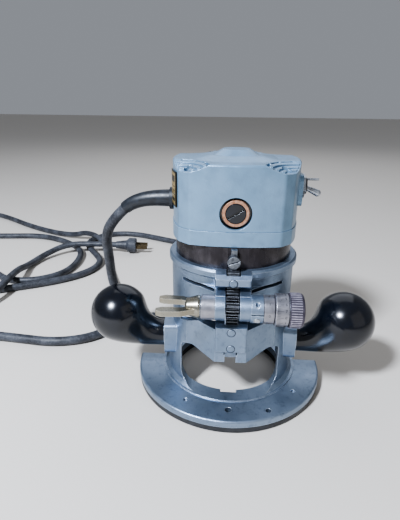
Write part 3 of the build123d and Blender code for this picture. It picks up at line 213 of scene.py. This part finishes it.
def edges(tree, radius, low=0.02, high=0.25):
    """Near 1 on outer and inner edges within the radius in mm, 0 on open faces."""
    soft = add_node(tree, "ShaderNodeBevel", samples=4, Radius=radius * MM).outputs["Normal"]
    plain = add_node(tree, "ShaderNodeNewGeometry").outputs["Normal"]
    same = add_node(tree, "ShaderNodeVectorMath", operation="DOT_PRODUCT", links=[(0, soft), (1, plain)])
    mask = add_node(tree, "ShaderNodeMapRange", links=[("Value", same.outputs["Value"])])
    mask.inputs["From Min"].default_value = 1.0 - low
    mask.inputs["From Max"].default_value = 1.0 - high
    return mask.outputs["Result"]


def times(tree, a, b):
    """Product of two values, held between 0 and 1."""
    made = add_node(tree, "ShaderNodeMath", operation="MULTIPLY", use_clamp=True, links=[(0, a)])
    if isinstance(b, (int, float)):
        made.inputs[1].default_value = b
    else:
        tree.links.new(b, made.inputs[1])
    return made.outputs[0]


def mixed(tree, factor, first, second):
    """Two colours, hex codes or sockets, mixed by a factor."""
    made = add_node(tree, "ShaderNodeMix", data_type="RGBA", links=[(0, factor)])
    for index, colour in ((6, first), (7, second)):
        if isinstance(colour, str):
            made.inputs[index].default_value = srgb(colour)
        else:
            tree.links.new(colour, made.inputs[index])
    return made.outputs[2]


def bumped(tree, shader, height, depth):
    """Raises the surface by the height times the depth in mm, over softly rounded edges."""
    made = add_node(tree, "ShaderNodeBump", Distance=depth * MM, links=[("Height", height)])
    rounded = add_node(tree, "ShaderNodeBevel", samples=4, Radius=0.5 * MM)
    tree.links.new(rounded.outputs["Normal"], made.inputs["Normal"])
    tree.links.new(made.outputs["Normal"], shader.inputs["Normal"])


def set_inputs(shader, tree, **values):
    """Sets the main shader's inputs from numbers, hex colours or sockets."""
    for key, value in values.items():
        socket = shader.inputs[key.replace("_", " ")]
        if isinstance(value, str):
            socket.default_value = srgb(value)
        elif isinstance(value, (int, float, tuple)):
            socket.default_value = value
        else:
            tree.links.new(value, socket)


def coat(material, *names):
    """Gives a material to CAD nodes by name."""
    for name in names:
        held = nodes[name]
        held.data.materials.clear()
        held.data.materials.append(material)


# ---------------------------------------------------------------- bare cast aluminium of the base
# Sand-cast skin: fine pits, broad cloudy staining, scattered blotches of oily dirt, bright rubbed edges.
cast_aluminium, tree, shader, where = new_finish("bare_cast_aluminium")
cloud = mottle(tree, where, 26.0, 0.0, 1.0, 3.0)
pits = mottle(tree, where, 0.7, 0.0, 1.0, 2.0)
stain = mottle(tree, where, 4.0, -1.4, 1.0, 6.0, rough=0.7)
edge_mask = edges(tree, 0.9)
skin = mixed(tree, cloud, "7d8da0", "8e9db0")
skin = mixed(tree, times(tree, stain, 0.5), skin, "4c5a6c")
skin = mixed(tree, times(tree, edge_mask, mottle(tree, where, 3.0, 0.2, 1.3)), skin, "dbe7f4")
set_inputs(
    shader, tree, Base_Color=skin, Metallic=0.88, Specular_IOR_Level=0.45,
    Roughness=mottle(tree, where, 9.0, 0.30, 0.46),
)
bumped(tree, shader, pits, 0.05)
coat(cast_aluminium, "base_casting", "clamp_collar", "lower_end_cap")

# ---------------------------------------------------------------- painted housing
# Light blue-grey enamel over a casting: slight orange peel, handling grime, and edges lightened partly
# as rubbed wear and partly as painted highlight.
housing_paint, tree, shader, where = new_finish("blue_grey_enamel")
cloud = mottle(tree, where, 30.0, 0.0, 1.0, 3.0)
peel = mottle(tree, where, 1.4, 0.0, 1.0, 1.0)
grime = mottle(tree, where, 10.0, -0.9, 1.0, 6.0)
edge_mask = edges(tree, 0.8, 0.03, 0.3)
skin = mixed(tree, cloud, "6f8ca3", "7f9cb4")
skin = mixed(tree, times(tree, grime, 0.3), skin, "5c6f82")
# Paler blue along the edges: partly rubbed paint, partly a painted highlight on the rounded edges.
skin = mixed(tree, times(tree, edge_mask, mottle(tree, where, 4.0, -0.2, 1.2)), skin, "b9cfe0")
set_inputs(
    shader, tree, Base_Color=skin, Metallic=0.45, Specular_IOR_Level=0.5,
    Roughness=mottle(tree, where, 7.0, 0.30, 0.42), Coat_Weight=0.2, Coat_Roughness=0.2,
)
bumped(tree, shader, peel, 0.03)
coat(housing_paint, "upper_housing", "housing_ring")

# ---------------------------------------------------------------- motor tube
# Dark brown lacquered steel, with faint upright smears where it has slid in the base.
motor_steel, tree, shader, where = new_finish("brown_lacquered_steel")
streaks = mottle(tree, where, 9.0, -0.5, 1.0, 3.0, stretch=(1, 1, 0.35))
skin = mixed(tree, mottle(tree, where, 18.0, 0.0, 1.0, 2.0), "201c1e", "343034")
skin = mixed(tree, times(tree, streaks, 0.4), skin, "6b6668")
set_inputs(
    shader, tree, Base_Color=skin, Metallic=0.55,
    Roughness=mottle(tree, where, 8.0, 0.22, 0.34),
)
coat(motor_steel, "motor_case")

# ---------------------------------------------------------------- plated and turned steel
# Worn bright plating with hairline scratches, for screws, studs, spindle and sleeves.
plated_steel, tree, shader, where = new_finish("worn_bright_plating")
dull = mottle(tree, where, 2.5, 0.0, 1.0, 5.0)
skin = mixed(tree, dull, "9aa0a8", "c3c8ce")
skin = mixed(tree, times(tree, mottle(tree, where, 4.0, -1.0, 1.0, 6.0), 0.5), skin, "5f5a55")
set_inputs(
    shader, tree, Base_Color=skin, Metallic=0.95,
    Roughness=mottle(tree, where, 1.6, 0.20, 0.38),
)
bumped(tree, shader, mottle(tree, where, 0.5, 0.0, 1.0, 2.0, stretch=(1, 0.1, 1)), 0.01)
coat(
    plated_steel, "sub_base_screws", "handle_studs", "handle_washers", "clamp_collar_screw",
    "wing_nut_washer", "lower_bearing", "upper_bearing", "housing_screws",
    "brush_springs", "switch_nut", "switch_guard", "switch_lever", "spindle", "collet", "collet_nut",
)

oiled_steel, tree, shader, where = new_finish("dark_oiled_steel")
skin = mixed(tree, mottle(tree, where, 2.0, 0.0, 1.0, 5.0), "4a4d52", "85898f")
skin = mixed(tree, times(tree, edges(tree, 0.4), 0.6), skin, "b5bac0")
set_inputs(shader, tree, Base_Color=skin, Metallic=0.85, Roughness=mottle(tree, where, 1.5, 0.28, 0.5))
bumped(tree, shader, mottle(tree, where, 0.6, 0.0, 1.0, 2.0), 0.02)
coat(oiled_steel, "rack", "rack_screws")

# Sleeve, dial and knob were turned on a lathe: rings round the cross shaft, rubbed dull by hands.
turned_aluminium, tree, shader, where = new_finish("turned_aluminium")
rings = mottle(tree, where, 0.35, 0.0, 1.0, 3.0, stretch=(1, 0.04, 0.04))
edge_mask = edges(tree, 0.5, 0.03, 0.3)
skin = mixed(tree, mottle(tree, where, 5.0, 0.0, 1.0, 5.0), "8b8a90", "a9a8ae")
skin = mixed(tree, times(tree, edge_mask, 0.7), skin, "dcdde2")
set_inputs(
    shader, tree, Base_Color=skin, Metallic=0.85,
    Roughness=mottle(tree, where, 3.0, 0.26, 0.42),
)
bumped(tree, shader, rings, 0.015)
coat(turned_aluminium, "index_sleeve", "graduated_dial", "clamp_sleeve")

knurled_aluminium, tree, shader, where = new_finish("purplish_knurled_aluminium")
edge_mask = edges(tree, 0.35, 0.02, 0.2)
skin = mixed(tree, mottle(tree, where, 4.0, 0.0, 1.0, 5.0), "4c4854", "67626d")
skin = mixed(tree, times(tree, edge_mask, 0.6), skin, "b9b4bd")
set_inputs(
    shader, tree, Base_Color=skin, Metallic=0.8,
    Roughness=mottle(tree, where, 2.0, 0.30, 0.48),
)
coat(knurled_aluminium, "depth_knob")

# Blackened pinion, its tooth edges lightened to bare steel: partly rubbed wear, partly painted highlight
# on the tooth tips.
black_steel, tree, shader, where = new_finish("blackened_steel")
edge_mask = edges(tree, 0.4, 0.02, 0.12)
skin = mixed(tree, mottle(tree, where, 1.5, 0.0, 1.0), "0d0d10", "1d1d22")
# Light edge colour: partly bare rubbed steel, partly a painted highlight on the tooth tips.
skin = mixed(tree, times(tree, edge_mask, 1.0), skin, "c4c8d0")
set_inputs(shader, tree, Base_Color=skin, Metallic=0.7, Roughness=mottle(tree, where, 1.0, 0.25, 0.45))
coat(black_steel, "pinion_shaft", "dial_washer")

# ---------------------------------------------------------------- brass, nickel and copper
# Nickel rubbed through to brass on the wing nut, and dull brass on the brush gear.
worn_nickel, tree, shader, where = new_finish("nickel_worn_to_brass")
edge_mask = edges(tree, 1.2, 0.01, 0.25)
through = mottle(tree, where, 7.0, -0.2, 1.0, 2.0)
skin = mixed(tree, times(tree, edge_mask, 0.6), "98958a", "d8d6cc")
skin = mixed(tree, times(tree, through, 0.35), skin, "97855f")
set_inputs(
    shader, tree, Base_Color=skin, Metallic=0.95,
    Roughness=mottle(tree, where, 5.0, 0.2, 0.3),
)
coat(worn_nickel, "wing_nut")

yellow_brass, tree, shader, where = new_finish("dull_brass")
skin = mixed(tree, mottle(tree, where, 3.0, 0.0, 1.0, 5.0), "8f7a48", "b9a473")
set_inputs(
    shader, tree, Base_Color=skin, Metallic=0.9,
    Roughness=mottle(tree, where, 2.0, 0.26, 0.44),
)
coat(yellow_brass, "brush_holders")

# The nameplate has a dark printed border, two dark panels and ruled lines, with no lettering.
plate_brass, tree, shader, where = new_finish("printed_brass_plate")
plate_low, plate_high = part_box("nameplate")
split = add_node(tree, "ShaderNodeSeparateXYZ", links=[("Vector", where)])


def within(axis, middle, half):
    """1 where a coordinate in mm is within half of a middle, else 0."""
    made = add_node(tree, "ShaderNodeMath", links=[(0, split.outputs[axis])], operation="COMPARE")
    made.inputs[1].default_value = middle
    made.inputs[2].default_value = half
    return made.outputs[0]


plate_y = (plate_low[1] + plate_high[1]) / 2 / MM
plate_z = (plate_low[2] + plate_high[2]) / 2 / MM
field = times(tree, within("Y", plate_y, 7.2), within("Z", plate_z, 10.8))
skin = mixed(tree, mottle(tree, where, 3.0, 0.0, 1.0, 5.0), "a58c52", "c9b37c")
skin = mixed(tree, field, "29261f", skin)
inner = within("Y", plate_y, 5.8)
for height, half in ((6.6, 2.2), (1.6, 0.3), (-1.2, 0.3), (-4.0, 0.3), (-7.4, 1.1)):
    skin = mixed(tree, times(tree, inner, within("Z", plate_z + height, half)), skin, "2f2b22")
set_inputs(shader, tree, Base_Color=skin, Metallic=0.85, Roughness=mottle(tree, where, 2.0, 0.28, 0.44))
coat(plate_brass, "nameplate")

aged_brass, tree, shader, where = new_finish("aged_dark_brass")
skin = mixed(tree, mottle(tree, where, 2.0, 0.0, 1.0, 5.0), "3d362a", "6d6048")
set_inputs(shader, tree, Base_Color=skin, Metallic=0.85, Roughness=0.45)
coat(aged_brass, "plug_pins")

copper, tree, shader, where = new_finish("tan_copper")
skin = mixed(tree, mottle(tree, where, 1.6, 0.0, 1.0, 5.0), "9a6c52", "c39a80")
set_inputs(
    shader, tree, Base_Color=skin, Metallic=0.55,
    Roughness=mottle(tree, where, 1.2, 0.36, 0.55),
)
coat(copper, "brush_rings", "field_windings", "armature_windings", "commutator")

stacked_steel, tree, shader, where = new_finish("stacked_sheet_steel")
layers = mottle(tree, where, 0.5, 0.0, 1.0, 1.0, stretch=(0.02, 0.02, 1))
skin = mixed(tree, layers, "3a3a3c", "66666a")
set_inputs(shader, tree, Base_Color=skin, Metallic=0.85, Roughness=0.42)
bumped(tree, shader, layers, 0.04)
coat(stacked_steel, "field_core", "armature_core")

# ---------------------------------------------------------------- black mouldings
# Glossy black phenolic handles and brush caps: faint scratches, skin grease, a little dust.
black_phenolic, tree, shader, where = new_finish("glossy_black_phenolic")
smear = mottle(tree, where, 8.0, 0.0, 1.0, 4.0)
scratch = mottle(tree, where, 0.8, 0.0, 1.0, 6.0, stretch=(0.15, 1, 1))
skin = mixed(tree, smear, "04060b", "080d17")
set_inputs(
    shader, tree, Base_Color=skin, Metallic=0.0, Specular_IOR_Level=0.6,
    Roughness=mottle(tree, where, 12.0, 0.14, 0.24, 3.0), Coat_Weight=0.2, Coat_Roughness=0.15,
)
bumped(tree, shader, scratch, 0.002)
coat(black_phenolic, "left_handle", "right_handle", "brush_caps", "brush_sleeves", "switch_body")

dull_black, tree, shader, where = new_finish("dull_black_laminate")
skin = mixed(tree, mottle(tree, where, 5.0, 0.0, 1.0, 5.0), "141518", "2b2d31")
skin = mixed(tree, times(tree, edges(tree, 0.8), 0.5), skin, "55585e")
set_inputs(
    shader, tree, Base_Color=skin, Metallic=0.0, Roughness=mottle(tree, where, 3.0, 0.35, 0.6)
)
bumped(tree, shader, mottle(tree, where, 0.6, 0.0, 1.0, 3.0), 0.02)
coat(dull_black, "sub_base", "cooling_fan", "bearing_carrier", "brushes")

# ---------------------------------------------------------------- rubber
# Dark grey dusty rubber on the lead and plug; smoother black rubber on the strain relief.
cord_rubber, tree, shader, where = new_finish("dusty_grey_rubber")
dust = mottle(tree, where, 14.0, -0.2, 1.0, 6.0)
scuff = mottle(tree, where, 1.8, -0.8, 1.0, 5.0)
skin = mixed(tree, dust, "25272c", "474a50")
skin = mixed(tree, times(tree, scuff, 0.3), skin, "74757a")
set_inputs(
    shader, tree, Base_Color=skin, Metallic=0.0, Specular_IOR_Level=0.4,
    Roughness=mottle(tree, where, 6.0, 0.38, 0.62),
)
bumped(tree, shader, mottle(tree, where, 0.7, 0.0, 1.0, 3.0), 0.03)
mains_cord.data.materials.append(cord_rubber)
coat(cord_rubber, "plug_body")

relief_rubber, tree, shader, where = new_finish("shiny_black_rubber")
skin = mixed(tree, mottle(tree, where, 4.0, 0.0, 1.0, 5.0), "0c0f14", "1e242c")
set_inputs(
    shader, tree, Base_Color=skin, Metallic=0.0, Specular_IOR_Level=0.6,
    Roughness=mottle(tree, where, 3.0, 0.36, 0.5),
)
bumped(tree, shader, mottle(tree, where, 1.5, 0.0, 1.0, 3.0), 0.015)
coat(relief_rubber, "strain_relief")

# ---------------------------------------------------------------- knurl and graduations
# Straight ridges all round the knob, and tick lines round the dial, placed by one small node tree:
# a ring of points about the cross shaft carries a bar at each point, realised into one mesh.
SHAFT_Y = -60.0
SHAFT_Z = 91.3
DIAL_SURFACE = 10.9
KNOB_SURFACE = 11.35
SLEEVE_SURFACE = 9.6


def evaluated_mesh(made):
    """The finished mesh of an object that was linked only to make it; the object is removed."""
    graph = bpy.context.evaluated_depsgraph_get()
    mesh = bpy.data.meshes.new_from_object(made.evaluated_get(graph), depsgraph=graph)
    bpy.data.objects.remove(made)
    return mesh


def shown(name, data, body):
    """Links new data under a name, riding on a body."""
    made = bpy.data.objects.new(name, data)
    bpy.context.collection.objects.link(made)
    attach(made, body)


def ring_of_bars(name, count, radius, bar, middle_x, material):
    """A mesh of bars of size (along, wide, high) in mm, spaced on a ring about the cross shaft."""
    tree = bpy.data.node_groups.new(name, "GeometryNodeTree")
    for title, kind, value in (
        ("Count", "NodeSocketInt", count),
        ("Radius", "NodeSocketFloat", radius * MM),
    ):
        tree.interface.new_socket(title, in_out="INPUT", socket_type=kind).default_value = value
    tree.interface.new_socket("Geometry", in_out="OUTPUT", socket_type="NodeSocketGeometry")
    given = tree.nodes.new("NodeGroupInput").outputs
    ring = add_node(
        tree, "GeometryNodeMeshCircle",
        links=[("Vertices", given["Count"]), ("Radius", given["Radius"])],
    )
    box = add_node(tree, "GeometryNodeMeshCube")
    box.inputs["Size"].default_value = [bar[2] * MM, bar[1] * MM, bar[0] * MM]
    facing = add_node(tree, "GeometryNodeInputPosition")
    aligned = add_node(
        tree, "FunctionNodeAlignRotationToVector", axis="X", pivot_axis="Z",
        links=[("Vector", facing.outputs[0])],
    )
    sources = {"Points": ring, "Instance": box, "Rotation": aligned}
    placed = add_node(
        tree, "GeometryNodeInstanceOnPoints",
        links=[(name, made.outputs[0]) for name, made in sources.items()],
    )
    real = add_node(tree, "GeometryNodeRealizeInstances", links=[("Geometry", placed.outputs[0])])
    coated = add_node(tree, "GeometryNodeSetMaterial", links=[("Geometry", real.outputs[0])])
    coated.inputs["Material"].default_value = material
    add_node(tree, "NodeGroupOutput", links=[("Geometry", coated.outputs[0])])
    holder = bpy.data.objects.new(name + "_maker", bpy.data.meshes.new(name + "_maker"))
    bpy.context.collection.objects.link(holder)
    holder.modifiers.new("bars", "NODES").node_group = tree
    mesh = evaluated_mesh(holder)
    middle = Matrix.Translation(Vector((middle_x, SHAFT_Y, SHAFT_Z)) * MM)
    mesh.transform(middle @ Matrix.Rotation(math.radians(90), 4, "Y"))
    return mesh


rubbed_ridges, tree, shader, where = new_finish("rubbed_purplish_ridges")
skin = mixed(tree, mottle(tree, where, 3.0, 0.0, 1.0, 4.0), "8b8593", "c3becb")
set_inputs(shader, tree, Base_Color=skin, Metallic=0.8, Roughness=0.34)
dial_left, dial_right = (corner[0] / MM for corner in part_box("graduated_dial"))
sleeve_left, sleeve_right = (corner[0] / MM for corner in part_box("index_sleeve"))
band_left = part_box("dial_washer")[1][0] / MM + 0.7
band_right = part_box("depth_knob")[1][0] / MM - 2.0
ridge = (band_right - band_left, 0.75, 0.7)
ridges = ring_of_bars("knob_knurl", 44, KNOB_SURFACE, ridge, (band_left + band_right) / 2, rubbed_ridges)
shown("knob_knurl", ridges, "depth_shaft")

# Black fill for the engraved ticks and numbers, also used as painted groove shade round the lug pins.
black_fill_and_shade, tree, shader, where = new_finish("black_engraving_fill_and_painted_shade")
skin = mixed(tree, mottle(tree, where, 0.8, 0, 1), "141416", "2c2c30")
set_inputs(shader, tree, Base_Color=skin, Roughness=0.6)
for name, count, tick, inset in (
    ("dial_short_ticks", 64, (2.2, 0.16, 0.1), 2.0),
    ("dial_long_ticks", 16, (4.0, 0.2, 0.12), 2.9),
):
    ticks = ring_of_bars(name, count, DIAL_SURFACE, tick, dial_left + inset, black_fill_and_shade)
    shown(name, ticks, "dial")

# Plain numbers 0 to 7 round the index sleeve, and twice round the dial, upright from the front.
for body, middle_x, radius, count in (
    ("base", (sleeve_left + sleeve_right) / 2, SLEEVE_SURFACE, 8),
    ("dial", dial_right - 1.9, DIAL_SURFACE, 16),
):
    joined = bmesh.new()
    for step in range(count):
        words = bpy.data.curves.new("number", "FONT")
        words.body = str(step % 8)
        words.size = 2.6 * MM
        words.extrude = 0.06 * MM
        words.align_x = "CENTER"
        words.align_y = "CENTER"
        writer = bpy.data.objects.new("number_writer", words)
        bpy.context.collection.objects.link(writer)
        digit = evaluated_mesh(writer)
        angle = math.radians(360 / count * step)
        spin = Matrix.Rotation(angle, 4, "X") @ Matrix.Rotation(math.radians(90), 4, "X")
        across, up = SHAFT_Y - radius * math.cos(angle), SHAFT_Z - radius * math.sin(angle)
        digit.transform(Matrix.Translation(Vector((middle_x, across, up)) * MM) @ spin)
        joined.from_mesh(digit)
        bpy.data.meshes.remove(digit)
    mesh = bpy.data.meshes.new(f"{body}_numbers")
    joined.to_mesh(mesh)
    joined.free()
    mesh.materials.append(black_fill_and_shade)
    shown(f"{body}_numbers", mesh, body)

# ---------------------------------------------------------------- pins in the lugs
# Three dowels finish almost flush in the rack's lugs, each in a thin black ring that is painted shade
# standing in for the groove round it.
LUG_FACE_Y = -56.8


def turned_on_lug(name, profile, height, material):
    """A lathe piece from (radius, rise) pairs in mm, standing out of a lug's face at a height."""
    mesh = bpy.data.meshes.new(name)
    form = bmesh.new()
    line = [form.verts.new((radius * MM, 0, rise * MM)) for radius, rise in profile]
    rims = [form.edges.new(pair) for pair in zip(line, line[1:])]
    turn = {"axis": (0, 0, 1), "cent": (0, 0, 0), "angle": math.tau, "steps": 40, "use_merge": True}
    bmesh.ops.spin(form, geom=line + rims, **turn)
    bmesh.ops.remove_doubles(form, verts=form.verts, dist=1e-6)
    bmesh.ops.recalc_face_normals(form, faces=form.faces)
    form.to_mesh(mesh)
    form.free()
    facing = Vector((0, -1, 0)).to_track_quat("Z", "Y").to_matrix().to_4x4()
    mesh.transform(Matrix.Translation(Vector((0, LUG_FACE_Y, height)) * MM) @ facing)
    mesh.shade_smooth()
    mesh.materials.append(material)
    shown(name, mesh, "base")


pin = [(0, 0.22), (2.3, 0.22), (2.7, 0.05), (2.7, -0.3)]
# A thin black ring round each pin: painted shade of a groove, not a cut groove.
groove_shade_ring = [(2.7, 0.04), (3.1, 0.06), (3.1, -0.3)]
for index, height in enumerate((70.0, 57.1, 107.0)):
    turned_on_lug(f"lug_pin_{index}", pin, height, cast_aluminium)
    turned_on_lug(f"lug_pin_groove_shade_{index}", groove_shade_ring, height, black_fill_and_shade)

# ---------------------------------------------------------------- floor and light
# A pale plain floor, a hard-edged key from the upper left in front, a soft fill and a dim world.
floor_mesh = bpy.data.meshes.new("floor")
FLOOR_Z = -0.0004  # a hair below the tool, so the two never share a face
corners = [(x, y, FLOOR_Z) for x, y in ((-6, -4), (6, -4), (6, 8), (-6, 8))]
floor_mesh.from_pydata(corners, [], [(0, 1, 2, 3)])
floor = bpy.data.objects.new("floor", floor_mesh)
bpy.context.collection.objects.link(floor)
floor_finish, tree, shader, where = new_finish("pale_floor")
set_inputs(shader, tree, Base_Color="cfc9c0", Roughness=0.7)
floor_mesh.materials.append(floor_finish)


def lamp(name, place, target, size, power, colour):
    """A square area light at a place, in metres, facing a target."""
    data = bpy.data.lights.new(name, "AREA")
    data.size = size
    data.energy = power
    data.color = srgb(colour)[:3]
    made = bpy.data.objects.new(name, data)
    bpy.context.collection.objects.link(made)
    facing = (Vector(target) - Vector(place)).to_track_quat("-Z", "Y").to_matrix().to_4x4()
    made.matrix_world = Matrix.Translation(Vector(place)) @ facing


lamp("key", (-0.55, -0.7, 0.95), (0, 0, 0.09), 0.14, 36.0, "e6efff")
lamp("fill", (0.9, -0.9, 0.7), (0, 0, 0.09), 1.2, 1.6, "fff6ea")
lamp("back", (0.1, 1.1, 1.2), (0, 0.1, 0.05), 1.5, 6.0, "f2f6ff")
world = bpy.data.worlds.new("studio")
world.use_nodes = True
sky = world.node_tree.nodes["Background"].inputs
sky["Color"].default_value = srgb("d8dde6")
sky["Strength"].default_value = 0.36
bpy.context.scene.world = world
bpy.context.scene.view_settings.view_transform = "AgX"
bpy.context.scene.view_settings.look = "AgX - Medium High Contrast"
